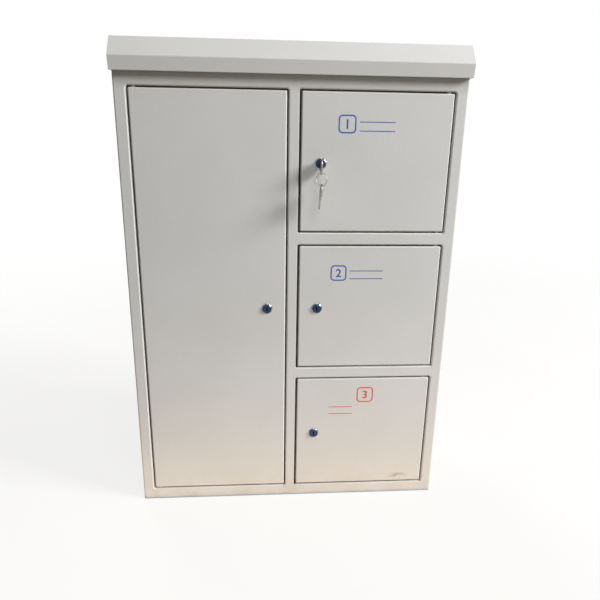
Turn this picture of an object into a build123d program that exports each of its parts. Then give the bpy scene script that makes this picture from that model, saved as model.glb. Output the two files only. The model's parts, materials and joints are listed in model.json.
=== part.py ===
"""Outdoor fibre distribution cabinet: one tall door, three stacked doors and a rain hood.

All sizes are in millimetres. +X is to the right, the front faces -Y and +Z is up. The
origin is the centre of the footprint, on the ground.
"""
from build123d import *
from math import cos, radians, sin
import os

os.makedirs("parts", exist_ok=True)

# Sheet metal
sheet = 1.5
bend = 1.5
touch_gap = 0.3
running_clearance = 0.05

# Body
body_width = 600.0
body_depth = 250.0
body_height = 850.0
front_return = 12.0
pan_flange = 15.0
pan_corner = 2.5

# Face frame
stile_width = 21.0
mullion_width = 19.0
bottom_rail_height = 23.5
cross_rail_height = 21.9
top_rail_height = 48.3
small_openings = 3
jamb_depth = 24.0
stop_width = 20.0
opening_corner = 2.5
opening_edge = 2.0

# Doors
door_gap = 3.0
door_depth = 18.0
door_lip = 20.0
door_corner = 1.5
door_edge = 1.8
gasket_inset = 9.5
gasket_width = 7.0
gasket_edge = 1.5
stiffener_width = 40.0
stiffener_depth = 12.0
stiffener_foot = 12.0

# Hinge pins
pivot_inset = 9.0
pivot_depth = 7.0
pin_radius = 2.5
pin_boss_width = 6.0
pin_grip = 6.0

# Cam locks
lock_inset = 34.5
lock_head_radius = 10.5
lock_head_sides = 24
lock_head_height = 3.0
lock_head_edge = 1.2
lock_barrel_width = 17.0
lock_bore_sides = 16
lock_nut_width = 24.0
lock_nut_height = 4.0
lock_fit = 0.1
plug_radius = 6.8
plug_recess = 0.5
cam_clearance = 0.5
cam_thickness = 2.0
cam_width = 16.0
cam_reach = 32.0
cam_corner = 3.0
tail_width = 7.0
cam_screw_width = 11.0
cam_screw_height = 4.0

# Keys and ring
key_thickness = 2.2
key_bow_length = 27.0
key_bow_width = 26.0
key_bow_corner = 9.0
key_bow_drop = 4.0
key_blade_length = 18.0
key_blade_width = 8.0
key_blade_root = 2.2
key_slot_length = 21.0
key_slot_width = 6.0
key_slot_rim = 2.5
key_notch = 1.4
key_notch_start = 5.0
key_notch_pitch = 2.8
key_notches = 3
keyway_clearance = 0.1
ring_radius = 11.2
ring_sides = 24
ring_wire = 1.6
ring_clearance = 0.5
ring_turn = 40.0
spare_lean = 3.5
spare_twist = 5.0

# Rain hood
hood_rise = 27.0
hood_chamfer_height = 31.0
hood_height = 53.0
hood_bottom_overhang = 11.0
hood_fold_overhang = 14.3
hood_chamfer_depth = 24.0
hood_side_gap = 0.5
hood_lip = 9.0
hood_bend = 2.5
hood_rail_side = 120.0
hood_rail_width = 30.0
hood_rail_foot = 16.0
hood_rail_inset = 25.0

# Fixing holes
wall_bolt_radius = 5.5
wall_bolt_side_inset = 60.0
wall_bolt_end_inset = 75.0
plinth_bolt_radius = 6.5
plinth_bolt_inset = 40.0

# Cable entries
gland_bore_radius = 14.0
gland_bore_sides = 12
gland_width = 38.0
gland_height = 14.0
gland_plate_thickness = 3.0
gland_plate_margin = 19.0
gland_cutout_margin = 6.0
floor_entries = 3
floor_entry_pitch = 70.0
floor_entry_depth = 80.0
side_entry_size = 24.0
side_entry_depth = 190.0
side_entry_rise = 45.0
trim_wall = 2.0
trim_lip = 3.0

# Divider and shelves
divider_flange = 12.0
shelf_flange = 27.0
back_flange = 20.0
shelf_side_gap = 2.0

# Splice tray rack in the tall compartment
rack_drop = 380.0
rack_height = 175.0
wall_foot = 14.0
tray_count = 5
tray_pitch = 30.0
tray_height = 24.0
tray_depth = 140.0
tray_setback = 4.5
tray_back_gap = 20.5
tray_side_gap = 6.0
tray_corner = 5.0
tray_ledge_height = 4.0
tray_ledge_depth = 15.0
tray_lid_inset = 1.2
tray_lid_height = 3.0
tray_rib_width = 4.0
tray_rib_inset = 8.0

# Fibre adapters
adapter_width = 12.0
adapter_height = 10.0
adapter_overhang = 10.0
adapter_port = 7.0
adapter_port_depth = 8.0
adapter_end_margin = 23.75
adapters_per_row = 6

# Cable clamps, earth bar and fibre guides in the tall compartment
clamp_rail_height = 150.0
clamp_rail_side_gap = 20.0
clamp_rail_section = 30.0
clamp_rail_standoff = 45.0
clamp_bore = 24.0
clamp_wall = 2.5
clamp_band = 16.0
clamp_ear = 8.0
earth_bar_height = 80.0
earth_bar_length = 150.0
earth_bar_width = 20.0
earth_bar_thickness = 5.0
earth_post_length = 25.0
earth_post_width = 12.0
earth_post_spacing = 120.0
earth_bolt_count = 4
earth_bolt_pitch = 24.0
earth_bolt_width = 10.0
earth_bolt_height = 6.0
guide_size = 44.0
guide_section = 3.0
guide_slot = 11.0
guide_width = 12.0
low_guide_shares = (0.375, 0.75)
high_guide_gap = 95.0
guide_side_inset = 60.0

# Operator trays in the small compartments
operator_shelf_side_gap = 31.0
operator_shelf_depth = 150.0
operator_shelf_drop = 45.0
operator_back_height = 60.0
operator_tray_height = 22.0

# Places worked out from the sizes above
front_y = -body_depth / 2
back_y = body_depth / 2
half_sheet = sheet / 2
octagon_turn = 180 / 8
opening_width = (body_width - 2 * stile_width - mullion_width) / 2
opening_x = (mullion_width + opening_width) / 2
tall_opening_height = body_height - bottom_rail_height - top_rail_height
small_pitch = (tall_opening_height + cross_rail_height) / small_openings
small_opening_height = small_pitch - cross_rail_height
tall_centre_z = bottom_rail_height + tall_opening_height / 2
small_centres_z = [
    bottom_rail_height + small_opening_height / 2 + row * small_pitch for row in range(small_openings)
]
stop_back_depth = jamb_depth + sheet
inner_back_y = back_y - sheet
bay_width = body_width / 2 - sheet - half_sheet
tall_middle_x = -(bay_width / 2 + half_sheet)
small_middle_x = -tall_middle_x
cam_depth = stop_back_depth + sheet + cam_clearance
bow_end_y = front_y - lock_head_height - touch_gap - key_bow_length
ring_y = bow_end_y + key_slot_rim + key_slot_width / 2
hood_top = body_height + hood_rise
hood_fold = hood_top - hood_chamfer_height
hood_bottom = hood_top - hood_height
rack_bottom = body_height - rack_drop

# Each door: its place, the middle of its opening, the opening's height and the side of its hinge
doors = [
    ("left", -opening_x, tall_centre_z, tall_opening_height, -1),
    ("top", opening_x, small_centres_z[2], small_opening_height, 1),
    ("middle", opening_x, small_centres_z[1], small_opening_height, 1),
    ("bottom", opening_x, small_centres_z[0], small_opening_height, 1),
]


def behind_front(depth):
    """The upright plane this far behind the front face, facing out of the front."""
    return Plane.XZ.offset(body_depth / 2 - depth)


def facing_front(x, depth, z):
    """An upright plane through a point of the front, with local z pointing out of the front."""
    return Plane(origin=(x, front_y + depth, z), x_dir=(1, 0, 0), z_dir=(0, -1, 0))


def folded_section(*points):
    """Draws an outer sheet's section, with its bends, from the points of its middle line."""
    with BuildLine() as middle:
        FilletPolyline(*points, radius=bend + half_sheet)
    trace(middle.line, line_width=sheet)


def inner_section(*points):
    """Draws an inner sheet's section, with its bends left sharp, from the points of its middle line."""
    with BuildLine() as middle:
        Polyline(*points)
    trace(middle.line, line_width=sheet)


def pivot_x(opening_middle, side):
    """The x of a door's hinge line."""
    return opening_middle + side * (opening_width / 2 - door_gap - pivot_inset)


def lock_x(opening_middle, side):
    """The x of a door's lock."""
    return opening_middle - side * (opening_width / 2 - door_gap - lock_inset)


# Face frame: a front sheet with folded side returns, a rebated surround in each opening and the hinge pins
with BuildPart() as face_frame:
    with BuildSketch():
        folded_section(
            (-body_width / 2 + half_sheet, front_y + front_return),
            (-body_width / 2 + half_sheet, front_y + half_sheet),
            (body_width / 2 - half_sheet, front_y + half_sheet),
            (body_width / 2 - half_sheet, front_y + front_return),
        )
    extrude(amount=body_height)
    for _, middle_x, middle_z, height, _ in doors:
        with BuildSketch(behind_front(0)):
            with Locations((middle_x, middle_z)):
                Rectangle(opening_width + 2 * sheet, height + 2 * sheet)
        extrude(amount=-stop_back_depth)
        with BuildSketch(behind_front(0)):
            with Locations((middle_x, middle_z)):
                hole = Rectangle(opening_width, height)
            chamfer(hole.vertices(), length=opening_corner)
        extrude(amount=-jamb_depth, mode=Mode.SUBTRACT)
        with BuildSketch(behind_front(jamb_depth)):
            with Locations((middle_x, middle_z)):
                Rectangle(opening_width - 2 * stop_width, height - 2 * stop_width)
        extrude(amount=-2 * sheet, mode=Mode.SUBTRACT)
    front = face_frame.faces().sort_by(Axis.Y)[0]
    chamfer(front.inner_wires().edges(), length=opening_edge)
    for _, middle_x, middle_z, height, side in doors:
        for end in (-1, 1):
            seat = Plane.XY.offset(middle_z + end * height / 2)
            with BuildSketch(seat):
                with Locations((pivot_x(middle_x, side), front_y + pivot_depth)):
                    Rectangle(pin_boss_width, pin_boss_width)
            extrude(amount=-end * (door_gap - running_clearance))
            with BuildSketch(seat):
                with Locations((pivot_x(middle_x, side), front_y + pivot_depth)):
                    Circle(pin_radius)
            extrude(amount=-end * (door_gap + pin_grip))
face_frame.part.label = "face_frame"
export_step(face_frame.part, "parts/face_frame.step")

# Body wrapper: both sides and the back in one folded sheet, with the wall fixing holes
with BuildPart() as body_wrapper:
    with BuildSketch():
        folded_section(
            (-body_width / 2 + half_sheet, front_y + front_return),
            (-body_width / 2 + half_sheet, back_y - half_sheet),
            (body_width / 2 - half_sheet, back_y - half_sheet),
            (body_width / 2 - half_sheet, front_y + front_return),
        )
    extrude(amount=body_height)
    with Locations(Plane(origin=(0, back_y, body_height / 2), x_dir=(1, 0, 0), z_dir=(0, 1, 0))):
        with GridLocations(body_width - 2 * wall_bolt_side_inset, body_height - 2 * wall_bolt_end_inset, 2, 2):
            Hole(wall_bolt_radius, depth=2 * sheet)
body_wrapper.part.label = "body_wrapper"
export_step(body_wrapper.part, "parts/body_wrapper.step")


def pan_block(z, direction):
    """Adds a pan with upturned side flanges between the body's walls, its plate at z."""
    with BuildSketch(Plane.XY.offset(z)) as outline:
        Rectangle(body_width - 2 * sheet, body_depth - 2 * sheet)
        chamfer(outline.vertices(), length=pan_corner)
    extrude(outline.sketch, amount=direction * pan_flange)
    with BuildSketch(Plane.XY.offset(z + direction * sheet)) as hollow:
        Rectangle(body_width - 4 * sheet, body_depth)
    extrude(hollow.sketch, amount=direction * pan_flange, mode=Mode.SUBTRACT)


floor_entry_xs = [
    tall_middle_x + (number - (floor_entries - 1) / 2) * floor_entry_pitch for number in range(floor_entries)
]
floor_entry_y = back_y - floor_entry_depth
gland_plate_length = (floor_entries - 1) * floor_entry_pitch + 2 * (gland_bore_radius + gland_plate_margin)
gland_plate_width = 2 * (gland_bore_radius + gland_plate_margin)
gland_cutout_length = (floor_entries - 1) * floor_entry_pitch + 2 * (gland_bore_radius + gland_cutout_margin)
gland_cutout_width = 2 * (gland_bore_radius + gland_cutout_margin)

# Bottom pan, with the cut-out for the cables and the plinth fixing holes
with BuildPart() as bottom_pan:
    pan_block(0, 1)
    with Locations((0, 0, 2 * sheet)):
        with GridLocations(body_width - 2 * plinth_bolt_inset, body_depth - 2 * plinth_bolt_inset, 2, 2):
            Hole(plinth_bolt_radius, depth=4 * sheet)
    with BuildSketch():
        with Locations((tall_middle_x, floor_entry_y)):
            Rectangle(gland_cutout_length, gland_cutout_width)
    extrude(amount=2 * sheet, mode=Mode.SUBTRACT)
bottom_pan.part.label = "bottom_pan"
export_step(bottom_pan.part, "parts/bottom_pan.step")

# Plate over the cut-out, with a hexagonal rubber gland for each cable
with BuildPart() as gland_plate:
    with BuildSketch(Plane.XY.offset(sheet)):
        with Locations((tall_middle_x, floor_entry_y)):
            Rectangle(gland_plate_length, gland_plate_width)
    extrude(amount=gland_plate_thickness)
    with BuildSketch(Plane.XY.offset(sheet)):
        with Locations([(x, floor_entry_y) for x in floor_entry_xs]):
            RegularPolygon(gland_width / 2, 6, major_radius=False)
    extrude(amount=gland_height)
    with BuildSketch(Plane.XY.offset(sheet)):
        with Locations([(x, floor_entry_y) for x in floor_entry_xs]):
            RegularPolygon(gland_bore_radius, gland_bore_sides, major_radius=False)
    extrude(amount=gland_height, mode=Mode.SUBTRACT)
gland_plate.part.label = "gland_plate"
export_step(gland_plate.part, "parts/gland_plate.step")

# Top pan
with BuildPart() as top_pan:
    pan_block(body_height, -1)
top_pan.part.label = "top_pan"
export_step(top_pan.part, "parts/top_pan.step")

side_entry_y = front_y + side_entry_depth
side_entry_zs = [z - small_opening_height / 2 + side_entry_rise for z in small_centres_z]

# Divider between the tall compartment and the small ones
with BuildPart() as divider:
    with BuildSketch(Plane.XY.offset(sheet)):
        inner_section(
            (half_sheet - divider_flange, front_y + stop_back_depth + half_sheet),
            (0, front_y + stop_back_depth + half_sheet),
            (0, inner_back_y - half_sheet),
            (half_sheet - back_flange, inner_back_y - half_sheet),
        )
    extrude(amount=body_height - 2 * sheet)
    with BuildSketch(Plane.YZ.offset(-sheet)):
        with Locations([(side_entry_y, z) for z in side_entry_zs]):
            Rectangle(side_entry_size, side_entry_size)
    extrude(amount=2 * sheet, mode=Mode.SUBTRACT)
divider.part.label = "divider"
export_step(divider.part, "parts/divider.step")

# Shelves that part the small compartments
for name, row in (("lower_shelf", 0), ("upper_shelf", 1)):
    shelf_z = small_centres_z[row] + small_pitch / 2
    with BuildPart() as shelf:
        with BuildSketch(Plane.YZ.offset(half_sheet)):
            inner_section(
                (front_y + stop_back_depth + half_sheet, shelf_z - shelf_flange),
                (front_y + stop_back_depth + half_sheet, shelf_z),
                (inner_back_y - half_sheet, shelf_z),
                (inner_back_y - half_sheet, shelf_z - back_flange),
            )
        extrude(amount=body_width / 2 - sheet - half_sheet - shelf_side_gap)
    shelf.part.label = name
    export_step(shelf.part, f"parts/{name}.step")

# Rain hood: one folded sheet with closed ends, open below
with BuildPart() as rain_hood:
    hood_half_width = body_width / 2 + hood_side_gap + sheet
    with BuildSketch(Plane.YZ.offset(-hood_half_width)):
        with BuildLine():
            Polyline(
                (back_y, hood_bottom),
                (back_y, hood_top),
                (front_y - hood_fold_overhang + hood_chamfer_depth, hood_top),
                (front_y - hood_fold_overhang, hood_fold),
                (front_y - hood_bottom_overhang, hood_bottom),
                close=True,
            )
        make_face()
    extrude(amount=2 * hood_half_width)
    folds = rain_hood.edges().filter_by(Axis.X).filter_by(lambda edge: edge.center().Z > hood_bottom + sheet)
    fillet(folds, radius=hood_bend)
    offset(amount=-sheet, openings=rain_hood.faces().sort_by(Axis.Z)[0])
    with BuildSketch(Plane.XZ.offset(-back_y)):
        with Locations((0, (hood_bottom + body_height) / 2)):
            Rectangle(body_width + 2 * hood_side_gap, body_height - hood_bottom + 2 * touch_gap)
    extrude(amount=2 * sheet, both=True, mode=Mode.SUBTRACT)
    with BuildSketch(Plane.XY.offset(hood_bottom)):
        with Locations((0, front_y - hood_bottom_overhang + (sheet + hood_lip) / 2)):
            Rectangle(body_width + 2 * hood_side_gap, hood_lip - sheet)
    extrude(amount=sheet)
rain_hood.part.label = "rain_hood"
export_step(rain_hood.part, "parts/rain_hood.step")

# Two hat rails that carry the hood on the top pan
rail_top_z = hood_top - sheet - half_sheet
with BuildPart() as hood_rails:
    for end in (-1, 1):
        rail_x = end * (body_width / 2 - hood_rail_side)
        web = hood_rail_width / 2 - half_sheet
        toe = hood_rail_width / 2 + hood_rail_foot
        with BuildSketch(Plane.XZ.offset(-back_y + hood_rail_inset)):
            inner_section(
                (rail_x - toe, body_height + half_sheet),
                (rail_x - web, body_height + half_sheet),
                (rail_x - web, rail_top_z),
                (rail_x + web, rail_top_z),
                (rail_x + web, body_height + half_sheet),
                (rail_x + toe, body_height + half_sheet),
            )
        extrude(amount=body_depth - 2 * hood_rail_inset)
hood_rails.part.label = "hood_rails"
export_step(hood_rails.part, "parts/hood_rails.step")

door_width = opening_width - 2 * door_gap

for place, middle_x, middle_z, opening_height, side in doors:
    door_height = opening_height - 2 * door_gap
    key_x = lock_x(middle_x, side)

    # Door: a folded pan with lips turned in at the back
    with BuildPart() as door:
        with BuildSketch(behind_front(0)) as outline:
            with Locations((middle_x, middle_z)):
                Rectangle(door_width, door_height)
            chamfer(outline.vertices(), length=door_corner)
        extrude(amount=-door_depth)
        chamfer(door.faces().sort_by(Axis.Y)[0].edges(), length=door_edge)
        with BuildSketch(behind_front(sheet)):
            with Locations((middle_x, middle_z)):
                Rectangle(door_width - 2 * sheet, door_height - 2 * sheet)
        extrude(amount=-(door_depth - 2 * sheet), mode=Mode.SUBTRACT)
        with BuildSketch(behind_front(door_depth - 2 * sheet)):
            with Locations((middle_x, middle_z)):
                Rectangle(door_width - 2 * door_lip, door_height - 2 * door_lip)
        extrude(amount=-3 * sheet, mode=Mode.SUBTRACT)
        for end in (-1, 1):
            hole_top = middle_z + end * door_height / 2 + 2 * sheet
            with Locations((pivot_x(middle_x, side), front_y + pivot_depth, hole_top)):
                Hole(pin_radius + running_clearance, depth=4 * sheet)
        with BuildSketch(facing_front(key_x, 0, middle_z)):
            RegularPolygon(lock_barrel_width / 2 + lock_fit, 8, major_radius=False)
        extrude(amount=-2 * sheet, mode=Mode.SUBTRACT)
    door.part.label = f"{place}_door"
    export_step(door.part, f"parts/{place}_door.step")

    # Foam gasket on the door's lips
    with BuildPart() as gasket:
        with BuildSketch(behind_front(door_depth)):
            with Locations((middle_x, middle_z)):
                inset = 2 * gasket_inset
                Rectangle(door_width - inset, door_height - inset)
                inset = 2 * (gasket_inset + gasket_width)
                Rectangle(door_width - inset, door_height - inset, mode=Mode.SUBTRACT)
        extrude(amount=-(jamb_depth - door_depth - touch_gap))
        chamfer(gasket.faces().sort_by(Axis.Y)[-1].edges(), length=gasket_edge)
    gasket.part.label = f"{place}_door_gasket"
    export_step(gasket.part, f"parts/{place}_door_gasket.step")

    # Lock housing: a many-sided bezel with an eight-sided barrel through the door
    with BuildPart() as housing:
        with BuildSketch(facing_front(key_x, 0, middle_z)):
            RegularPolygon(lock_head_radius, lock_head_sides)
        extrude(amount=lock_head_height)
        chamfer(housing.faces().sort_by(Axis.Y)[0].edges(), length=lock_head_edge)
        with BuildSketch(facing_front(key_x, 0, middle_z)):
            RegularPolygon(lock_barrel_width / 2, 8, major_radius=False)
        extrude(amount=-(cam_depth - touch_gap))
        with BuildSketch(facing_front(key_x, -lock_head_height, middle_z)):
            RegularPolygon(plug_radius + running_clearance, lock_bore_sides, major_radius=False)
        extrude(amount=-(cam_depth + lock_head_height), mode=Mode.SUBTRACT)
    housing.part.label = f"{place}_lock_housing"
    export_step(housing.part, f"parts/{place}_lock_housing.step")

    # Hexagon nut that clamps the housing to the door
    with BuildPart() as lock_nut:
        with BuildSketch(facing_front(key_x, sheet, middle_z)):
            RegularPolygon(lock_nut_width / 2, 6, major_radius=False)
            RegularPolygon(lock_barrel_width / 2 + lock_fit, 8, major_radius=False, mode=Mode.SUBTRACT)
        extrude(amount=-lock_nut_height)
    lock_nut.part.label = f"{place}_lock_nut"
    export_step(lock_nut.part, f"parts/{place}_lock_nut.step")

    # Turning plug, with its keyway in front and a square tail behind
    with BuildPart() as plug:
        with BuildSketch(facing_front(key_x, plug_recess - lock_head_height, middle_z)):
            Circle(plug_radius)
        extrude(amount=-(cam_depth + lock_head_height - plug_recess))
        with BuildSketch(facing_front(key_x, cam_depth, middle_z)):
            Rectangle(tail_width, tail_width)
        extrude(amount=-cam_thickness)
        with BuildSketch(facing_front(key_x, plug_recess - lock_head_height, middle_z)):
            Rectangle(key_thickness + 2 * keyway_clearance, key_blade_width + 2 * keyway_clearance)
        extrude(amount=-(key_blade_length + sheet), mode=Mode.SUBTRACT)
    plug.part.label = f"{place}_lock_plug"
    export_step(plug.part, f"parts/{place}_lock_plug.step")

    # Flat cam, hanging down clear of the frame while the door is unlocked
    with BuildPart() as cam:
        with BuildSketch(facing_front(key_x, cam_depth, middle_z)):
            with Locations((0, -(cam_reach - cam_width / 2) / 2)):
                blade = Rectangle(cam_width, cam_reach + cam_width / 2)
            chamfer(blade.vertices(), length=cam_corner)
            Rectangle(tail_width + 2 * running_clearance, tail_width + 2 * running_clearance, mode=Mode.SUBTRACT)
        extrude(amount=-cam_thickness)
    cam.part.label = f"{place}_lock_cam"
    export_step(cam.part, f"parts/{place}_lock_cam.step")

    # Head of the screw that holds the cam on the plug's tail
    with BuildPart() as cam_screw:
        with BuildSketch(facing_front(key_x, cam_depth + cam_thickness, middle_z)):
            RegularPolygon(cam_screw_width / 2, 6, major_radius=False)
        extrude(amount=-cam_screw_height)
    cam_screw.part.label = f"{place}_cam_screw"
    export_step(cam_screw.part, f"parts/{place}_cam_screw.step")

# Hat stiffener down the inside of the tall door
with BuildPart() as door_stiffener:
    stiffener_length = tall_opening_height - 2 * door_gap - 2 * door_lip - 2 * sheet
    web = stiffener_width / 2 - half_sheet
    toe = stiffener_width / 2 + stiffener_foot
    with BuildSketch(Plane.XY.offset(tall_centre_z - stiffener_length / 2)):
        inner_section(
            (-opening_x - toe, front_y + sheet + half_sheet),
            (-opening_x - web, front_y + sheet + half_sheet),
            (-opening_x - web, front_y + sheet + stiffener_depth - half_sheet),
            (-opening_x + web, front_y + sheet + stiffener_depth - half_sheet),
            (-opening_x + web, front_y + sheet + half_sheet),
            (-opening_x + toe, front_y + sheet + half_sheet),
        )
    extrude(amount=stiffener_length)
door_stiffener.part.label = "left_door_stiffener"
export_step(door_stiffener.part, "parts/left_door_stiffener.step")


def key_blank(plane):
    """Adds a flat key to the part: its bow starts at the plane's origin and its blade runs along local x."""
    with BuildSketch(plane) as outline:
        with Locations((key_bow_length / 2, -key_bow_drop)):
            RectangleRounded(key_bow_length, key_bow_width, key_bow_corner)
        with Locations((key_bow_length + (key_blade_length - key_blade_root) / 2, 0)):
            blade = Rectangle(key_blade_length + key_blade_root, key_blade_width)
        chamfer(blade.vertices().group_by(Axis.X)[-1], length=key_notch)
        with Locations((key_slot_rim + key_slot_width / 2, -key_bow_drop)):
            Rectangle(key_slot_width, key_slot_length, mode=Mode.SUBTRACT)
        notch_start = key_bow_length + key_notch_start
        notch_xs = [notch_start + number * key_notch_pitch for number in range(key_notches)]
        with Locations([(x, key_blade_width / 2) for x in notch_xs]):
            Rectangle(key_notch, key_notch, rotation=45, mode=Mode.SUBTRACT)
    extrude(outline.sketch, amount=key_thickness / 2, both=True)


top_lock_x = lock_x(opening_x, 1)
top_lock_z = small_centres_z[2]
slot_bottom_z = top_lock_z - key_bow_drop - key_slot_length / 2
ring_top_z = slot_bottom_z + ring_wire / 2 + ring_clearance
ring_centre_z = ring_top_z - ring_radius
spare_top_z = ring_centre_z - ring_radius + key_slot_rim + ring_wire / 2 + ring_clearance

# Key that stands in the top door's lock
with BuildPart() as key:
    key_blank(Plane(origin=(top_lock_x, bow_end_y, top_lock_z), x_dir=(0, 1, 0), z_dir=(1, 0, 0)))
key.part.label = "key"
export_step(key.part, "parts/key.step")

# Ring through the key's slot, turned part way towards the side
with BuildPart() as key_ring:
    turn = radians(ring_turn)
    with BuildSketch(Plane(origin=(top_lock_x, ring_y, ring_centre_z), z_dir=(-sin(turn), -cos(turn), 0))):
        RegularPolygon(ring_radius + ring_wire / 2, ring_sides)
        RegularPolygon(ring_radius - ring_wire / 2, ring_sides, mode=Mode.SUBTRACT)
    extrude(amount=ring_wire / 2, both=True)
key_ring.part.label = "key_ring"
export_step(key_ring.part, "parts/key_ring.step")

# Spare key that hangs from the ring
with BuildPart() as spare_key:
    lean = radians(spare_lean)
    hang = Plane(
        origin=(top_lock_x, ring_y, spare_top_z),
        x_dir=(-sin(lean), 0, -cos(lean)),
        z_dir=(cos(lean), 0, -sin(lean)),
    )
    key_blank(hang.rotated((spare_twist, 0, 0)))
spare_key.part.label = "spare_key"
export_step(spare_key.part, "parts/spare_key.step")


# Rubber edge trims where fibres pass through the divider
with BuildPart() as entry_trims:
    for offset_x, size, width in (
        (-half_sheet - trim_wall, side_entry_size + 2 * trim_lip, trim_wall),
        (-half_sheet, side_entry_size, sheet),
        (half_sheet, side_entry_size + 2 * trim_lip, trim_wall),
    ):
        with BuildSketch(Plane.YZ.offset(offset_x)):
            with Locations([(side_entry_y, z) for z in side_entry_zs]):
                Rectangle(size, size)
                Rectangle(side_entry_size - 2 * trim_wall, side_entry_size - 2 * trim_wall, mode=Mode.SUBTRACT)
        extrude(amount=width)
entry_trims.part.label = "entry_trims"
export_step(entry_trims.part, "parts/entry_trims.step")

tray_width = opening_width - 2 * stop_width
rack_depth = tray_setback + tray_depth + tray_back_gap
rack_half_width = tray_width / 2 + tray_side_gap
rack_front_y = inner_back_y - rack_depth
tray_front_y = rack_front_y + tray_setback
tray_bottoms = [rack_bottom + sheet + number * tray_pitch for number in range(tray_count)]

# Rack that carries the splice trays, on the back wall
with BuildPart() as tray_rack:
    with BuildSketch(Plane.XZ.offset(-inner_back_y)):
        inner_section(
            (tall_middle_x - rack_half_width + half_sheet, rack_bottom + rack_height),
            (tall_middle_x - rack_half_width + half_sheet, rack_bottom + half_sheet),
            (tall_middle_x + rack_half_width - half_sheet, rack_bottom + half_sheet),
            (tall_middle_x + rack_half_width - half_sheet, rack_bottom + rack_height),
        )
    extrude(amount=rack_depth)
    with BuildSketch(Plane.XZ.offset(-inner_back_y)):
        with Locations((tall_middle_x, rack_bottom + rack_height - wall_foot / 2)):
            Rectangle(2 * rack_half_width, wall_foot)
    extrude(amount=sheet)
tray_rack.part.label = "tray_rack"
export_step(tray_rack.part, "parts/tray_rack.step")


def splice_tray(middle_x, front, bottom, width, depth, height):
    """Adds a closed tray with a ledge in front for its adapters, and a lid set in a little all round."""
    floor = Plane(origin=(middle_x, front + depth / 2, bottom))
    with BuildSketch(floor) as ledge:
        Rectangle(width, depth)
        chamfer(ledge.vertices(), length=tray_corner)
    extrude(ledge.sketch, amount=tray_ledge_height)
    case_depth = depth - tray_ledge_depth
    with BuildSketch(floor) as case:
        with Locations((0, tray_ledge_depth / 2)):
            Rectangle(width, case_depth)
        chamfer(case.vertices(), length=tray_corner)
    extrude(case.sketch, amount=height - tray_lid_height)
    with BuildSketch(floor.offset(height - tray_lid_height)) as lid:
        with Locations((0, tray_ledge_depth / 2)):
            Rectangle(width - 2 * tray_lid_inset, case_depth - 2 * tray_lid_inset)
        chamfer(lid.vertices(), length=tray_corner)
    extrude(lid.sketch, amount=tray_lid_height)


# Stacked splice trays, each standing on the two ribs of the tray below it
with BuildPart() as splice_trays:
    rib_spacing = tray_width - 2 * tray_rib_inset
    rib_length = tray_depth - tray_ledge_depth - 2 * tray_rib_inset
    for bottom in tray_bottoms:
        splice_tray(tall_middle_x, tray_front_y, bottom, tray_width, tray_depth, tray_height)
        rib_middle_y = tray_front_y + (tray_depth + tray_ledge_depth) / 2
        with BuildSketch(Plane.XY.offset(bottom + tray_height)):
            with Locations((tall_middle_x, rib_middle_y)):
                with GridLocations(rib_spacing, 0, 2, 1):
                    Rectangle(tray_rib_width, rib_length)
        extrude(amount=tray_pitch - tray_height - touch_gap)
splice_trays.part.label = "splice_trays"
export_step(splice_trays.part, "parts/splice_trays.step")


def adapter_row(middle_x, front, bottom, width):
    """Adds a row of fibre adapters on a tray's ledge, each with an open port in front."""
    pitch = (width - 2 * adapter_end_margin - adapter_width) / (adapters_per_row - 1)
    middle = Plane(origin=(middle_x, front, bottom + adapter_height / 2), x_dir=(1, 0, 0), z_dir=(0, -1, 0))
    with BuildSketch(middle) as blocks:
        with GridLocations(pitch, 0, adapters_per_row, 1):
            Rectangle(adapter_width, adapter_height)
    extrude(blocks.sketch, amount=adapter_overhang)
    extrude(blocks.sketch, amount=-tray_ledge_depth + touch_gap)
    with BuildSketch(middle.offset(adapter_overhang)) as ports:
        with GridLocations(pitch, 0, adapters_per_row, 1):
            Rectangle(adapter_port, adapter_port)
    extrude(ports.sketch, amount=-adapter_port_depth, mode=Mode.SUBTRACT)


# Adapters seated on the ledges of the splice trays
with BuildPart() as tray_adapters:
    for bottom in tray_bottoms:
        adapter_row(tall_middle_x, tray_front_y, bottom + tray_ledge_height, tray_width)
tray_adapters.part.label = "tray_adapters"
export_step(tray_adapters.part, "parts/tray_adapters.step")

# Rail for the cable clamps, on two folded ends that reach the back wall
clamp_rail_front_y = inner_back_y - clamp_rail_standoff
clamp_rail_width = bay_width - 2 * (wall_foot + clamp_rail_side_gap)
with BuildPart() as clamp_rail:
    with BuildSketch(Plane.XY.offset(clamp_rail_height - clamp_rail_section / 2)):
        inner_section(
            (tall_middle_x - clamp_rail_width / 2 - wall_foot, inner_back_y - half_sheet),
            (tall_middle_x - clamp_rail_width / 2, inner_back_y - half_sheet),
            (tall_middle_x - clamp_rail_width / 2, clamp_rail_front_y + half_sheet),
            (tall_middle_x + clamp_rail_width / 2, clamp_rail_front_y + half_sheet),
            (tall_middle_x + clamp_rail_width / 2, inner_back_y - half_sheet),
            (tall_middle_x + clamp_rail_width / 2 + wall_foot, inner_back_y - half_sheet),
        )
    extrude(amount=clamp_rail_section)
clamp_rail.part.label = "clamp_rail"
export_step(clamp_rail.part, "parts/clamp_rail.step")

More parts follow.
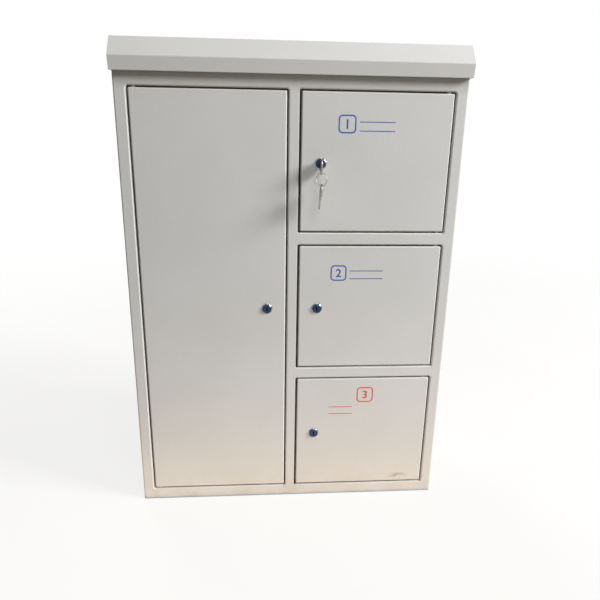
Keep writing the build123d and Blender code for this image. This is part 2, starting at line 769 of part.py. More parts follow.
# Saddle clamps on the rail, above the cable entries: eight-sided bands with two ears
loop_y = clamp_rail_front_y - clamp_wall - clamp_bore / 2
with BuildPart() as cable_clamps:
    for x in floor_entry_xs:
        with BuildSketch(Plane.XY.offset(clamp_rail_height - clamp_band / 2)):
            with Locations((x, loop_y)):
                RegularPolygon(clamp_bore / 2 + clamp_wall, 8, major_radius=False, rotation=octagon_turn)
            with Locations((x, clamp_rail_front_y - clamp_wall / 2)):
                Rectangle(clamp_bore + 2 * (clamp_wall + clamp_ear), clamp_wall)
            with Locations((x, loop_y)):
                RegularPolygon(clamp_bore / 2, 8, major_radius=False, rotation=octagon_turn, mode=Mode.SUBTRACT)
        extrude(amount=clamp_band)
cable_clamps.part.label = "cable_clamps"
export_step(cable_clamps.part, "parts/cable_clamps.step")

earth_front_y = inner_back_y - earth_post_length - earth_bar_thickness

# Earth bar on two posts
with BuildPart() as earth_bar:
    with BuildSketch(Plane.XZ.offset(-earth_front_y)):
        with Locations((tall_middle_x, earth_bar_height)):
            Rectangle(earth_bar_length, earth_bar_width)
    extrude(amount=-earth_bar_thickness)
    with BuildSketch(Plane.XZ.offset(-inner_back_y)):
        with Locations((tall_middle_x, earth_bar_height)):
            with GridLocations(earth_post_spacing, 0, 2, 1):
                Rectangle(earth_post_width, earth_post_width)
    extrude(amount=earth_post_length)
earth_bar.part.label = "earth_bar"
export_step(earth_bar.part, "parts/earth_bar.step")

# Terminal bolts on the earth bar
with BuildPart() as earth_bolts:
    with BuildSketch(Plane.XZ.offset(-earth_front_y)):
        with Locations((tall_middle_x, earth_bar_height)):
            with GridLocations(earth_bolt_pitch, 0, earth_bolt_count, 1):
                RegularPolygon(earth_bolt_width / 2, 6, major_radius=False)
    extrude(amount=earth_bolt_height)
earth_bolts.part.label = "earth_bolts"
export_step(earth_bolts.part, "parts/earth_bolts.step")

# Square rings that guide the fibres, on the back wall, each with a slot in front to lay them in
guide_x = -body_width / 2 + sheet + guide_side_inset
guide_zs = [clamp_rail_height + share * (rack_bottom - clamp_rail_height) for share in low_guide_shares]
guide_zs.append(rack_bottom + rack_height + high_guide_gap)
with BuildPart() as fibre_guides:
    for z in guide_zs:
        with BuildSketch(Plane.XY.offset(z)):
            with Locations((guide_x, inner_back_y - guide_size / 2)):
                Rectangle(guide_size, guide_size)
                Rectangle(guide_size - 2 * guide_section, guide_size - 2 * guide_section, mode=Mode.SUBTRACT)
            with Locations((guide_x, inner_back_y - guide_size)):
                Rectangle(guide_slot, guide_size, mode=Mode.SUBTRACT)
        extrude(amount=guide_width)
fibre_guides.part.label = "fibre_guides"
export_step(fibre_guides.part, "parts/fibre_guides.step")

operator_shelf_width = bay_width - 2 * operator_shelf_side_gap
operator_floors = [z - operator_shelf_drop for z in small_centres_z]
operator_front_y = inner_back_y - operator_shelf_depth

# Folded bracket in each small compartment: back flange, shelf and a low front flange
for place, floor in zip(("bottom", "middle", "top"), operator_floors):
    with BuildPart() as bracket:
        with BuildSketch(Plane.YZ.offset(small_middle_x - operator_shelf_width / 2)):
            inner_section(
                (inner_back_y - half_sheet, floor + operator_back_height),
                (inner_back_y - half_sheet, floor - half_sheet),
                (operator_front_y + half_sheet, floor - half_sheet),
                (operator_front_y + half_sheet, floor + tray_ledge_height),
            )
        extrude(amount=operator_shelf_width)
    bracket.part.label = f"{place}_tray_bracket"
    export_step(bracket.part, f"parts/{place}_tray_bracket.step")

operator_tray_front_y = operator_front_y + sheet + touch_gap
operator_tray_depth = operator_shelf_depth - 2 * sheet - 2 * touch_gap

# Operator splice trays, one on each bracket
with BuildPart() as operator_trays:
    for floor in operator_floors:
        splice_tray(
            small_middle_x,
            operator_tray_front_y,
            floor,
            operator_shelf_width,
            operator_tray_depth,
            operator_tray_height,
        )
operator_trays.part.label = "operator_trays"
export_step(operator_trays.part, "parts/operator_trays.step")

# Adapters on the ledges of the operator trays
with BuildPart() as operator_adapters:
    for floor in operator_floors:
        adapter_row(small_middle_x, operator_tray_front_y, floor + tray_ledge_height, operator_shelf_width)
operator_adapters.part.label = "operator_adapters"
export_step(operator_adapters.part, "parts/operator_adapters.step")
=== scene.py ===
"""Looks for the outdoor fibre distribution cabinet: materials, fine pieces, light and the photo's camera.

Metres, in the CAD frame: +X is to the right, the front faces -Y and +Z is up.
"""
import json
import math

import bmesh
import bpy
from mathutils import Matrix, Vector


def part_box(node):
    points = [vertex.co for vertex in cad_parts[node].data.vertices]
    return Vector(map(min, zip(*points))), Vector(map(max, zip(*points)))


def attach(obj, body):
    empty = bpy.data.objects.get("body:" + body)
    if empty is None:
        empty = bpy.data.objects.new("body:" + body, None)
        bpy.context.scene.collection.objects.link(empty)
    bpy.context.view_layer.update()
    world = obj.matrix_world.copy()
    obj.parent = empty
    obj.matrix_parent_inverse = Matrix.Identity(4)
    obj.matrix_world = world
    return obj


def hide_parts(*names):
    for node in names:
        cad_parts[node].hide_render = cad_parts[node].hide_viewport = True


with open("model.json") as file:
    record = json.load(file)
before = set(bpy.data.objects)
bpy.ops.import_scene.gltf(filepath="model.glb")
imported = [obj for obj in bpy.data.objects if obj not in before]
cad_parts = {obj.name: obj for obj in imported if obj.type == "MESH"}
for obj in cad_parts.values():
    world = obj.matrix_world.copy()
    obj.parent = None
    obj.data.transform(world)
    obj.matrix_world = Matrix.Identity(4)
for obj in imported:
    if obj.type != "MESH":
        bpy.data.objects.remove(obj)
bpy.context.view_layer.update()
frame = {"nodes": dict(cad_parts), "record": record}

scene = bpy.context.scene
scene.view_settings.view_transform = "Standard"
MM = 0.001


def middle_of(node):
    """The middle of a CAD node's box, in millimetres."""
    low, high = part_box(node)
    return (low + high) / 2 / MM


# Places and sizes of the CAD, in millimetres
FRONT_Y = -125.0
LOCKS = {place: middle_of(f"{place}_lock_plug") for place in ("left", "top", "middle", "bottom")}
RING_CENTRE = middle_of("key_ring")
RING_TURN = 40.0  # degrees about the upright
RING_RADIUS = 11.2
BARREL_END = 27.2


def srgb(red, green, blue):
    """Linear colour from the 0-255 numbers of a screen colour."""
    linear = [((c / 255 + 0.055) / 1.055) ** 2.4 if c > 10 else c / 255 / 12.92 for c in (red, green, blue)]
    return (*linear, 1.0)


# Camera at the photograph's angle
camera_data = bpy.data.cameras.new("photo_camera")
camera_data.lens = 33.6
camera_data.sensor_width = 36.0
camera_data.clip_start = 0.02
camera_data.clip_end = 60.0
camera = bpy.data.objects.new("photo_camera", camera_data)
camera.location = (-0.061, -1.126, 0.747)
camera.rotation_euler = [math.radians(angle) for angle in (72.447, -0.953, -4.048)]
scene.collection.objects.link(camera)
scene.camera = camera


class Look:
    """One material's node tree, built with short calls. Texture coordinates are the CAD frame's metres."""

    def __init__(self, name):
        self.material = bpy.data.materials.new(name)
        self.material.use_nodes = True
        self.tree = self.material.node_tree
        self.shader = self.tree.nodes["Principled BSDF"]
        self.place = self.add("ShaderNodeTexCoord").outputs["Object"]

    def add(self, kind, inputs=(), **settings):
        node = self.tree.nodes.new(kind)
        for key, value in settings.items():
            setattr(node, key, value)
        for key, value in dict(inputs).items():
            self.put(node, key, value)
        return node

    def put(self, node, key, value):
        if isinstance(value, bpy.types.NodeSocket):
            self.tree.links.new(value, node.inputs[key])
        else:
            node.inputs[key].default_value = value

    def set(self, **values):
        """Puts numbers, colours or sockets on the shader: the key's underscores stand for spaces."""
        for key, value in values.items():
            self.put(self.shader, key.replace("_", " "), value)

    def stretched(self, scale):
        return self.add("ShaderNodeMapping", {"Vector": self.place, "Scale": scale}).outputs["Vector"]

    def noise(self, scale, detail=2.0, roughness=0.5, place=None):
        inputs = {"Vector": place or self.place, "Scale": scale, "Detail": detail, "Roughness": roughness}
        return self.add("ShaderNodeTexNoise", inputs).outputs["Fac"]

    def cells(self, scale, output="Distance"):
        return self.add("ShaderNodeTexVoronoi", {"Vector": self.place, "Scale": scale}).outputs[output]

    def fit(self, value, low, high, to_low=0.0, to_high=1.0):
        """Maps low..high of a value to to_low..to_high, and clamps it there."""
        inputs = {"Value": value, "From Min": low, "From Max": high, "To Min": to_low, "To Max": to_high}
        return self.add("ShaderNodeMapRange", inputs).outputs["Result"]

    def math(self, operation, first, second=0.0):
        node = self.add("ShaderNodeMath", operation=operation)
        self.put(node, 0, first)
        self.put(node, 1, second)
        return node.outputs[0]

    def blend(self, share, first, second, mode="MIX"):
        node = self.add("ShaderNodeMix", data_type="RGBA", blend_type=mode)
        self.put(node, 0, share)
        self.put(node, 6, first)
        self.put(node, 7, second)
        return node.outputs[2]

    def axis(self, letter):
        return self.add("ShaderNodeSeparateXYZ", {"Vector": self.place}).outputs[letter]

    def product(self, first, *others):
        for other in others:
            first = self.math("MULTIPLY", first, other)
        return first

    def within(self, letter, rise, fall):
        """1 between two edges on an axis and 0 outside: each edge says where it is 0 and where it is 1."""
        value = self.axis(letter)
        return self.product(self.fit(value, *rise), self.fit(value, *fall))

    def bump(self, height, distance, strength=1.0, normal=None):
        inputs = {"Height": height, "Distance": distance, "Strength": strength}
        if normal:
            inputs["Normal"] = normal
        return self.add("ShaderNodeBump", inputs).outputs["Normal"]

    def soft_edges(self, radius):
        node = self.add("ShaderNodeBevel", {"Radius": radius}, samples=4)
        return node.outputs["Normal"]

    def spot(self, centre, size):
        """1 at a point of the front and 0 outside an oval of that size round it."""
        shifted = self.add("ShaderNodeVectorMath", operation="SUBTRACT")
        self.put(shifted, 0, self.place)
        self.put(shifted, 1, centre)
        scaled = self.add("ShaderNodeVectorMath", operation="DIVIDE")
        self.put(scaled, 0, shifted.outputs[0])
        self.put(scaled, 1, size)
        length = self.add("ShaderNodeVectorMath", operation="LENGTH")
        self.put(length, 0, scaled.outputs[0])
        return self.fit(length.outputs["Value"], 1.0, 0.45)


def powder_coat():
    """Warm grey powder coat: orange peel, gentle waves in the sheet, an uneven tone, dust at the foot, and
    painted shade in a gap and below the hood.
    """
    look = Look("powder_coat")
    cloud = look.noise(5.0, 3.0)
    speck = look.noise(900.0, 1.0)
    colour = look.blend(look.fit(cloud, 0.35, 0.65), srgb(208, 207, 205), srgb(203, 202, 199))
    colour = look.blend(look.fit(speck, 0.3, 0.7, 0.0, 0.10), colour, srgb(150, 146, 138))

    # Splashes at the foot
    dust_and_shade_noise = look.noise(26.0, 4.0, 0.65)
    low = look.fit(look.axis("Z"), 0.075, 0.0)
    dust = look.product(low, look.fit(dust_and_shade_noise, 0.42, 0.72), 0.35)
    colour = look.blend(dust, colour, srgb(168, 150, 124))

    # One scuff at the lower right corner of the bottom door
    streaks = look.noise(60.0, 5.0, 0.7, look.stretched((0.5, 1.0, 1.8)))
    spot = look.spot(centre=(0.231, -0.125, 0.039), size=(0.026, 0.02, 0.009))
    scuff = look.product(spot, look.fit(streaks, 0.52, 0.60), 0.6)
    colour = look.blend(scuff, colour, srgb(148, 134, 118))

    # Painted shade in the gap between the mullion and the small doors, behind the front face only: a dark
    # band that stands in for the shadow on the mullion's edge
    beside_mullion = look.within("X", (0.0078, 0.0086), (0.0121, 0.0114))
    behind_face = look.within("Y", (-0.1249, -0.1243), (-0.098, -0.102))
    below_hood = look.fit(look.axis("Z"), 0.8034, 0.8022)
    painted_gap_shade = look.product(beside_mullion, behind_face, below_hood, 0.85)
    colour = look.blend(painted_gap_shade, colour, srgb(58, 53, 47))

    # Painted shade on the face frame right below the hood's lip: a brown darkening that stands in for the
    # hood's shadow band
    lip = look.within("Z", (0.796, 0.812), (0.829, 0.827))
    face = look.within("Y", (-0.131, -0.128), (-0.115, -0.121))
    inside_edges = look.fit(look.math("ABSOLUTE", look.axis("X")), 0.3005, 0.2995)
    painted_hood_shade = look.product(lip, face, inside_edges, look.fit(dust_and_shade_noise, 0.3, 0.7, 0.26, 0.4))
    colour = look.blend(painted_hood_shade, colour, srgb(140, 126, 98))

    waves = look.noise(4.0, 1.0)
    peel = look.noise(650.0, 2.0)
    normal = look.soft_edges(0.0006)
    normal = look.bump(waves, 0.0035, 0.35, normal)
    normal = look.bump(peel, 0.00016, 0.6, normal)
    gloss = look.fit(look.noise(40.0, 3.0), 0.3, 0.7, 0.40, 0.52)
    look.set(Base_Color=colour, Roughness=gloss, Normal=normal, Specular_IOR_Level=0.25)
    return look.material


def plated(name, colour, roughness, brush=(1.0, 1.0, 12.0), grain=0.00003, darker=0.85):
    """Plated or rolled metal: fine brush lines, faint stains and a worn, uneven gloss."""
    look = Look(name)
    lines = look.noise(500.0, 3.0, 0.6, look.stretched(brush))
    stain = look.noise(90.0, 3.0, 0.6)
    dull = tuple(c * darker for c in colour[:3]) + (1.0,)
    tone = look.blend(look.fit(stain, 0.35, 0.75), colour, dull)
    gloss = look.fit(stain, 0.3, 0.7, roughness * 0.8, roughness * 1.3)
    normal = look.bump(lines, grain, 0.5, look.soft_edges(0.0003))
    look.set(Base_Color=tone, Metallic=1.0, Roughness=gloss, Normal=normal)
    return look.material


def lock_face():
    """Lacquered metal lock face, turned in fine rings, so that a light draws a wedge on it. Its blue-black
    colour is a painted reflection: it stands in for the dark surroundings that the face mirrors.

    The rings run round the nearest lock's axis: the locks stand in two columns, one each side of the middle,
    and their rows have one pitch.
    """
    look = Look("lock_face_dark")
    column = LOCKS["top"].x * MM
    row = LOCKS["middle"].z * MM
    pitch = LOCKS["top"].z * MM - row
    x = look.axis("X")
    beside = look.math("SUBTRACT", look.math("ABSOLUTE", x), column)
    aside = look.math("MULTIPLY", beside, look.math("SIGN", x))
    wrapped = look.add("ShaderNodeMath", {1: pitch / 2, 2: -pitch / 2}, operation="WRAP")
    look.put(wrapped, 0, look.math("SUBTRACT", look.axis("Z"), row))
    outward = look.add("ShaderNodeCombineXYZ", {"X": aside, "Z": wrapped.outputs[0]}).outputs[0]
    radius = look.add("ShaderNodeVectorMath", {0: outward}, operation="LENGTH").outputs["Value"]
    rings = look.noise(7000.0, 2.0, place=look.add("ShaderNodeCombineXYZ", {"X": radius}).outputs[0])
    # Painted reflection: the blue-black tone stands in for dark surroundings mirrored by the face
    tone = look.blend(look.fit(rings, 0.3, 0.7), srgb(31, 54, 90), srgb(20, 38, 68))
    to_world = {"vector_type": "VECTOR", "convert_from": "OBJECT", "convert_to": "WORLD"}
    turned = look.add("ShaderNodeVectorTransform", {0: outward}, **to_world).outputs[0]
    normal = look.bump(rings, 0.00001, 0.4, look.soft_edges(0.0003))
    look.set(Base_Color=tone, Metallic=1.0, Roughness=0.42, Anisotropic=0.85, Tangent=turned)
    look.set(Coat_Weight=0.5, Coat_Roughness=0.3, Normal=normal)
    return look.material


def zinc():
    """Zinc plate with its spangle: small crystals, each with its own tone and gloss."""
    look = Look("zinc_plate")
    crystal = look.cells(260.0, output="Color")
    shade = look.add("ShaderNodeSeparateColor", {"Color": crystal}).outputs[0]
    tone = look.blend(shade, srgb(196, 200, 203), srgb(168, 172, 176))
    rust = look.math("MULTIPLY", look.fit(look.noise(70.0, 4.0, 0.7), 0.64, 0.78), 0.4)
    tone = look.blend(rust, tone, srgb(150, 128, 104))
    normal = look.bump(look.noise(800.0, 2.0), 0.00003, 0.5, look.soft_edges(0.0003))
    look.set(Base_Color=tone, Metallic=1.0, Roughness=look.fit(shade, 0.0, 1.0, 0.28, 0.42), Normal=normal)
    return look.material


def moulded(name, colour, shade, roughness, grain=700.0):
    """Moulded plastic or rubber: fine spark-eroded grain, soft edges and a slightly uneven tone."""
    look = Look(name)
    tone = look.blend(look.fit(look.noise(30.0, 3.0), 0.3, 0.7), colour, shade)
    dirt = look.math("MULTIPLY", look.fit(look.noise(120.0, 4.0, 0.7), 0.55, 0.8), 0.12)
    tone = look.blend(dirt, tone, srgb(120, 112, 100))
    gloss = look.fit(look.noise(160.0, 2.0), 0.3, 0.7, roughness - 0.06, roughness + 0.06)
    normal = look.bump(look.noise(grain, 2.0), 0.00004, 0.6, look.soft_edges(0.0004))
    look.set(Base_Color=tone, Roughness=gloss, Normal=normal)
    return look.material


def foam():
    """Closed-cell foam: matt and dark, with open pores on its cut faces."""
    look = Look("gasket_foam")
    pores = look.cells(1100.0)
    tone = look.blend(look.fit(pores, 0.0, 0.45), srgb(16, 16, 16), srgb(52, 52, 51))
    normal = look.bump(pores, 0.0003, 0.7, look.soft_edges(0.0008))
    look.set(Base_Color=tone, Roughness=0.9, Normal=normal, Specular_IOR_Level=0.3)
    return look.material


def ink(name, colour, worn):
    """Screen-printed ink: a thin even film with small worn specks."""
    look = Look(name)
    specks = look.fit(look.noise(520.0, 3.0, 0.7), 0.60, 0.72)
    tone = look.blend(look.math("MULTIPLY", specks, 0.75), colour, worn)
    normal = look.bump(look.noise(650.0, 2.0), 0.0001, 0.5)
    look.set(Base_Color=tone, Roughness=0.42, Normal=normal)
    return look.material


LOOKS = {
    "grey_powder_coat": powder_coat(),
    "lock_chrome": plated("lock_chrome", srgb(136, 137, 137), 0.2, grain=0.00001),
    "lock_face_dark": lock_face(),
    "zinc_plate": zinc(),
    "key_nickel": plated("key_nickel", srgb(158, 155, 149), 0.34, brush=(1.0, 1.0, 10.0), darker=0.75),
    "gasket_foam": foam(),
    "black_rubber": moulded("black_rubber", srgb(34, 34, 34), srgb(26, 26, 27), 0.7, 500.0),
    "black_plastic": moulded("black_plastic", srgb(44, 44, 45), srgb(33, 33, 35), 0.5),
    "tray_plastic": moulded("tray_plastic", srgb(226, 226, 221), srgb(217, 216, 209), 0.4),
    "adapter_plastic": moulded("adapter_plastic", srgb(30, 92, 168), srgb(24, 78, 148), 0.35),
    "guide_plastic": moulded("guide_plastic", srgb(233, 232, 226), srgb(222, 220, 212), 0.45),
    "earth_brass": plated("earth_brass", srgb(200, 164, 96), 0.26, brush=(1.0, 10.0, 10.0), darker=0.8),
}
BLUE_INK = ink("blue_ink", srgb(38, 84, 158), srgb(150, 165, 190))
RED_INK = ink("red_ink", srgb(206, 62, 58), srgb(216, 160, 150))

for entry in frame["record"]["subparts"]:
    mesh = frame["nodes"][entry["node"]].data
    mesh.materials.clear()
    mesh.materials.append(LOOKS[entry["material_slot"]])


def new_piece(name, mesh_data, look, body):
    """Adds a piece of the scene that rides on a body."""
    piece = bpy.data.objects.new(name, mesh_data)
    scene.collection.objects.link(piece)
    mesh_data.materials.append(look)
    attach(piece, body)
    return piece


def mesh_from(name, points, faces, smooth_angle=None):
    """A mesh from points in millimetres, with edges sharper than smooth_angle left sharp."""
    mesh = bpy.data.meshes.new(name)
    mesh.from_pydata([Vector(point) * MM for point in points], [], faces)
    sort = bmesh.new()
    sort.from_mesh(mesh)
    bmesh.ops.recalc_face_normals(sort, faces=sort.faces)
    sort.to_mesh(mesh)
    sort.free()
    if smooth_angle:
        mesh.shade_smooth()
        mesh.set_sharp_from_angle(angle=math.radians(smooth_angle))
    return mesh


def swept_rings(rings, closed):
    """Faces between rings of points, each ring closed; closed joins the last ring to the first."""
    count = len(rings[0])
    points = [point for ring in rings for point in ring]
    pairs = list(zip(range(len(rings)), range(1, len(rings))))
    if closed:
        pairs.append((len(rings) - 1, 0))
    faces = [
        (a * count + i, b * count + i, b * count + (i + 1) % count, a * count + (i + 1) % count)
        for a, b in pairs
        for i in range(count)
    ]
    return points, faces


def lathe(name, profile, x, z):
    """Turns a closed profile of (radius, distance in front of the door) round a lock's axis."""
    segments = 72
    rings = []
    for step in range(segments):
        angle = 2 * math.pi * step / segments
        across, up = math.cos(angle), math.sin(angle)
        rings.append([(x + r * across, FRONT_Y - out, z + r * up) for r, out in profile])
    points, faces = swept_rings(rings, closed=True)
    return mesh_from(name, points, faces, smooth_angle=35)


# Lock housings, in millimetres
DARK_FACE_RADIUS = 8.9
DARK_FACE_DEPTH = 1.0
BORE_RADIUS = 6.85
ROOT_RADIUS = 8.0
CREST_RADIUS = 8.45
THREAD_START = -5.8
THREAD_PITCH = 1.1
THREAD_CRESTS = 18


def bezel_profile():
    """The lock housing's section: a conical face with a rounded rim, and a threaded barrel behind it."""
    profile = [(BORE_RADIUS, 2.2), (6.9, 2.85), (7.0, 2.98), (7.15, 2.95), (7.35, 2.80), (7.8, 2.40)]
    profile += [(8.3, 1.93), (8.8, 1.45), (9.3, 0.97), (9.6, 0.71), (9.85, 0.56), (10.15, 0.46)]
    profile += [(10.4, 0.34), (10.5, 0.18), (10.5, 0.0), (8.35, 0.0), (8.35, THREAD_START)]
    for number in range(THREAD_CRESTS):
        start = THREAD_START - number * THREAD_PITCH
        profile += [(ROOT_RADIUS, start - 0.15), (CREST_RADIUS, start - 0.45)]
        profile += [(CREST_RADIUS, start - 0.6), (ROOT_RADIUS, start - 0.95)]
    profile += [(ROOT_RADIUS, -BARREL_END + 0.5), (7.7, -BARREL_END), (BORE_RADIUS, -BARREL_END)]
    return profile


for place, middle in LOCKS.items():
    name = f"{place}_lock_bezel"
    mesh = lathe(name, bezel_profile(), middle.x, middle.z)
    housing = new_piece(name, mesh, LOOKS["lock_chrome"], f"{place}_door_leaf")
    mesh.materials.append(LOOKS["lock_face_dark"])
    for face in mesh.polygons:
        offset = face.center / MM - Vector((middle.x, FRONT_Y, middle.z))
        if offset.y < -DARK_FACE_DEPTH and math.hypot(offset.x, offset.z) < DARK_FACE_RADIUS:
            face.material_index = 1
    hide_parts(f"{place}_lock_housing")


def split_ring(name):
    """A split ring: round spring wire in two turns side by side, stepping over once."""
    wire_radius = 0.4
    steps = 192
    sides = 12
    start_angle = math.radians(200)
    step_start, step_length = 0.94, 0.12  # in turns
    facing = math.radians(RING_TURN)
    axis = Vector((-math.sin(facing), -math.cos(facing), 0))
    across = Vector((math.cos(facing), -math.sin(facing), 0))
    up = Vector((0, 0, 1))
    rings = []
    for step in range(steps + 1):
        turns = 2 * step / steps
        angle = 2 * math.pi * turns + start_angle
        over = min(max((turns - step_start) / step_length, 0.0), 1.0)
        shift = (over * over * (3 - 2 * over) - 0.5) * 2 * wire_radius
        outward = across * math.cos(angle) + up * math.sin(angle)
        middle = Vector(RING_CENTRE) + outward * RING_RADIUS + axis * shift
        turned = [2 * math.pi * side / sides for side in range(sides)]
        rings.append([middle + wire_radius * (outward * math.cos(a) + axis * math.sin(a)) for a in turned])
    points, faces = swept_rings(rings, closed=False)
    faces += [tuple(range(sides)), tuple(len(points) - 1 - side for side in range(sides))]
    return mesh_from(name, points, faces, smooth_angle=50)


ring = new_piece("split_ring", split_ring("split_ring"), LOOKS["key_nickel"], "ring")
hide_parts("key_ring")

# Generic compartment numbers and write-on lines, printed on the small doors, in millimetres
INK_THICKNESS = 0.06
FRAME_STROKE = 2.4
FRAME_CORNER = 0.24  # share of the frame's size
NUMBER_HEIGHT = 0.5  # share of the frame's size
CAPITAL_HEIGHT = 0.7  # share of the font's size
STROKE_GROWTH = 0.4  # makes the font bolder
LINE_HEIGHT = 1.5
LINE_RISE = 7.5
# Per door: number, ink, middle and size of its frame, ends and middle height of its lines
MARKS = {
    "top": ("1", BLUE_INK, (91.8, 746.4), 31.0, (113.0, 176.0), 742.68),
    "middle": ("2", BLUE_INK, (86.2, 481.7), 30.0, (107.0, 170.0), 478.1),
    "bottom": ("3", RED_INK, (148.5, 230.0), 33.0, (76.0, 124.0), 196.0),
}


def rounded_loop(centre_x, centre_z, size, corner, y):
    """Points round a square with round corners, on an upright plane."""
    corner_steps = 8
    half = size / 2 - corner
    loop = []
    for quarter, (side_x, side_z) in enumerate(((1, 1), (-1, 1), (-1, -1), (1, -1))):
        for step in range(corner_steps + 1):
            angle = math.radians(90 * (quarter + step / corner_steps))
            x = centre_x + side_x * half + corner * math.cos(angle)
            z = centre_z + side_z * half + corner * math.sin(angle)
            loop.append((x, y, z))
    return loop


def frame_mark(name, centre_x, centre_z, size):
    """A printed square frame with round corners."""
    back, front = FRONT_Y, FRONT_Y - INK_THICKNESS
    corner = size * FRAME_CORNER
    inner_size, inner_corner = size - 2 * FRAME_STROKE, corner - FRAME_STROKE
    rings = [
        rounded_loop(centre_x, centre_z, size, corner, back),
        rounded_loop(centre_x, centre_z, size, corner, front),
        rounded_loop(centre_x, centre_z, inner_size, inner_corner, front),
        rounded_loop(centre_x, centre_z, inner_size, inner_corner, back),
    ]
    points, faces = swept_rings(rings, closed=True)
    return mesh_from(name, points, faces)


def line_mark(name, start_x, end_x, z):
    """A printed line with round ends, to write on."""
    back, front = FRONT_Y, FRONT_Y - INK_THICKNESS
    end_steps = 8
    half = LINE_HEIGHT / 2
    outline = []
    for end, x in ((1, end_x - half), (-1, start_x + half)):
        for step in range(end_steps + 1):
            angle = math.radians(-90 + 180 * step / end_steps)
            outline.append((x + end * half * math.cos(angle), z + end * half * math.sin(angle)))
    rings = [[(x, y, z) for x, z in outline] for y in (back, front)]
    points, faces = swept_rings(rings, closed=False)
    count = len(outline)
    faces.append(tuple(range(count, 2 * count)))
    return mesh_from(name, points, faces)


def number_mark(name, text, centre_x, centre_z, height):
    """A printed number, as a mesh."""
    letters = bpy.data.curves.new(name, "FONT")
    letters.body = text
    letters.size = height * MM / CAPITAL_HEIGHT
    letters.align_x = "CENTER"
    letters.extrude = INK_THICKNESS * MM / 2
    letters.offset = STROKE_GROWTH * MM
    holder = bpy.data.objects.new(name, letters)
    scene.collection.objects.link(holder)
    bpy.context.view_layer.update()
    mesh = bpy.data.meshes.new_from_object(holder.evaluated_get(bpy.context.evaluated_depsgraph_get()))
    bpy.data.objects.remove(holder)
    xs = [v.co.x for v in mesh.vertices]
    ys = [v.co.y for v in mesh.vertices]
    centre = Matrix.Translation((-(min(xs) + max(xs)) / 2, -(min(ys) + max(ys)) / 2, 0))
    upright = Matrix.Rotation(math.pi / 2, 4, "X")
    to_place = Matrix.Translation(Vector((centre_x, FRONT_Y - INK_THICKNESS / 2, centre_z)) * MM)
    mesh.transform(to_place @ upright @ centre)
    mesh.materials.clear()
    return mesh


for place, (text, look, (mark_x, mark_z), size, (line_start, line_end), line_z) in MARKS.items():
    body = f"{place}_door_leaf"
    name = f"{place}_number_frame"
    new_piece(name, frame_mark(name, mark_x, mark_z, size), look, body)
    name = f"{place}_number"
    mesh = number_mark(name, text, mark_x, mark_z, size * NUMBER_HEIGHT)
    new_piece(name, mesh, look, body)
    for number, rise in enumerate((LINE_RISE, -LINE_RISE), 1):
        name = f"{place}_write_line_{number}"
        mesh = line_mark(name, line_start, line_end, line_z + rise)
        new_piece(name, mesh, look, body)

# Pale studio floor that fades out well away from the cabinet, in metres
FLOOR_HALF = 4.0
FADE_START, FADE_END = 1.0, 2.6
floor_mesh = bpy.data.meshes.new("studio_floor")
corners = [(x * FLOOR_HALF, y * FLOOR_HALF, 0) for x, y in ((-1, -1), (1, -1), (1, 1), (-1, 1))]
floor_mesh.from_pydata(corners, [], [(0, 1, 2, 3)])
floor = bpy.data.objects.new("studio_floor", floor_mesh)
scene.collection.objects.link(floor)


def seen_rays(tree):
    """1 for the rays of the camera, of reflections and of transmission, and 0 for those that light things."""
    path = tree.nodes.new("ShaderNodeLightPath")
    total = path.outputs["Is Camera Ray"]
    for kind in ("Is Glossy Ray", "Is Transmission Ray"):
        larger = tree.nodes.new("ShaderNodeMath")
        larger.operation = "MAXIMUM"
        tree.links.new(total, larger.inputs[0])
        tree.links.new(path.outputs[kind], larger.inputs[1])
        total = larger.outputs[0]
    return total


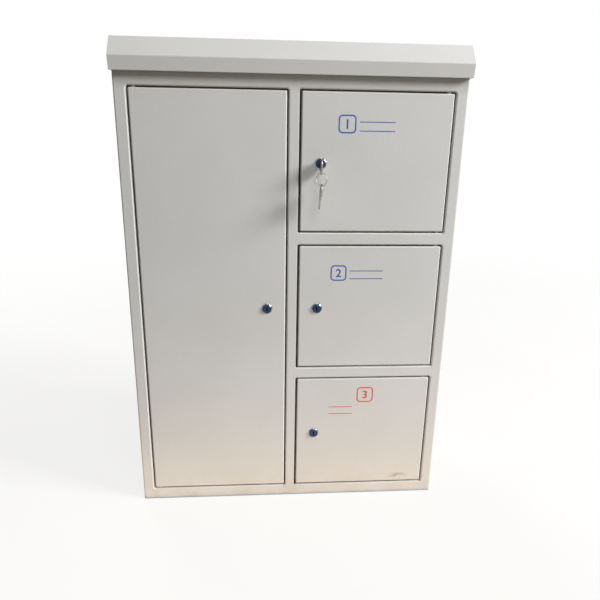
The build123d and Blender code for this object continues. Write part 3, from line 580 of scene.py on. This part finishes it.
def floor_look():
    """A floor that looks pale, keeps a soft shadow, bounces little light and fades out far away."""
    look = Look("studio_floor")
    cloud = look.fit(look.noise(3.0, 3.0), 0.3, 0.7)
    tone = look.blend(cloud, (0.16, 0.157, 0.15, 1), (0.15, 0.147, 0.14, 1))
    look.set(Base_Color=tone, Roughness=0.8, Specular_IOR_Level=0.1)
    glow = look.add("ShaderNodeEmission", {"Color": (1.0, 0.995, 0.985, 1), "Strength": 0.78})
    lifted = look.add("ShaderNodeAddShader")
    look.put(lifted, 0, look.shader.outputs[0])
    look.put(lifted, 1, glow.outputs[0])
    shown = look.add("ShaderNodeMixShader", {0: seen_rays(look.tree)})
    look.put(shown, 1, look.shader.outputs[0])
    look.put(shown, 2, lifted.outputs[0])
    distance = look.add("ShaderNodeVectorMath", operation="LENGTH")
    look.put(distance, 0, look.place)
    clear = look.add("ShaderNodeBsdfTransparent")
    joined = look.add("ShaderNodeMixShader", {0: look.fit(distance.outputs["Value"], FADE_START, FADE_END)})
    look.put(joined, 1, shown.outputs[0])
    look.put(joined, 2, clear.outputs[0])
    look.put(look.tree.nodes["Material Output"], "Surface", joined.outputs[0])
    return look.material


floor_mesh.materials.append(floor_look())

# World: white for the camera and for reflections, soft light from above for everything else
world = bpy.data.worlds.new("studio")
world.use_nodes = True
scene.world = world
tree = world.node_tree
tree.nodes.clear()
white = tree.nodes.new("ShaderNodeBackground")
white.inputs["Color"].default_value = (1, 1, 1, 1)
white.inputs["Strength"].default_value = 1.0
soft = tree.nodes.new("ShaderNodeBackground")
soft.inputs["Color"].default_value = (0.93, 0.99, 1.0, 1)
soft.inputs["Strength"].default_value = 0.105
either = tree.nodes.new("ShaderNodeMixShader")
tree.links.new(seen_rays(tree), either.inputs[0])
tree.links.new(soft.outputs[0], either.inputs[1])
tree.links.new(white.outputs[0], either.inputs[2])
output = tree.nodes.new("ShaderNodeOutputWorld")
tree.links.new(either.outputs[0], output.inputs["Surface"])


def area_light(name, place, target, size, power, colour=(1, 1, 1)):
    """A soft rectangular lamp that the camera doesn't see."""
    data = bpy.data.lights.new(name, "AREA")
    data.shape = "RECTANGLE"
    data.size, data.size_y = size
    data.energy = power
    data.color = colour
    lamp = bpy.data.objects.new(name, data)
    lamp.location = place
    lamp.rotation_euler = (Vector(target) - Vector(place)).to_track_quat("-Z", "Y").to_euler()
    lamp.visible_camera = False
    scene.collection.objects.link(lamp)


# Place, target and size in metres, watts and colour
LAMPS = {
    "key_light": ((3.74, -1.45, 2.62), (0, -0.12, 0.45), (1.4, 1.4), 280.0),
    "front_fill": ((0.8, -2.9, 3.3), (0.1, -0.12, 0.3), (1.6, 1.6), 45.0),
    "back_fill": ((-2.5, 4.5, 2.6), (0, 0.12, 0.45), (2.4, 2.4), 150.0),
    "wide_bounce": ((0.33, -0.527, 0.001), (0.33, -0.527, 1.0), (1.5, 0.8), 2.55, (1.0, 0.98, 0.96)),
    "warm_bounce": ((0.05, -0.23, 0.002), (0.05, -0.23, 1.0), (1.2, 0.2), 0.45, (1.0, 0.5, 0.05)),
}
for name, settings in LAMPS.items():
    area_light(name, *settings)
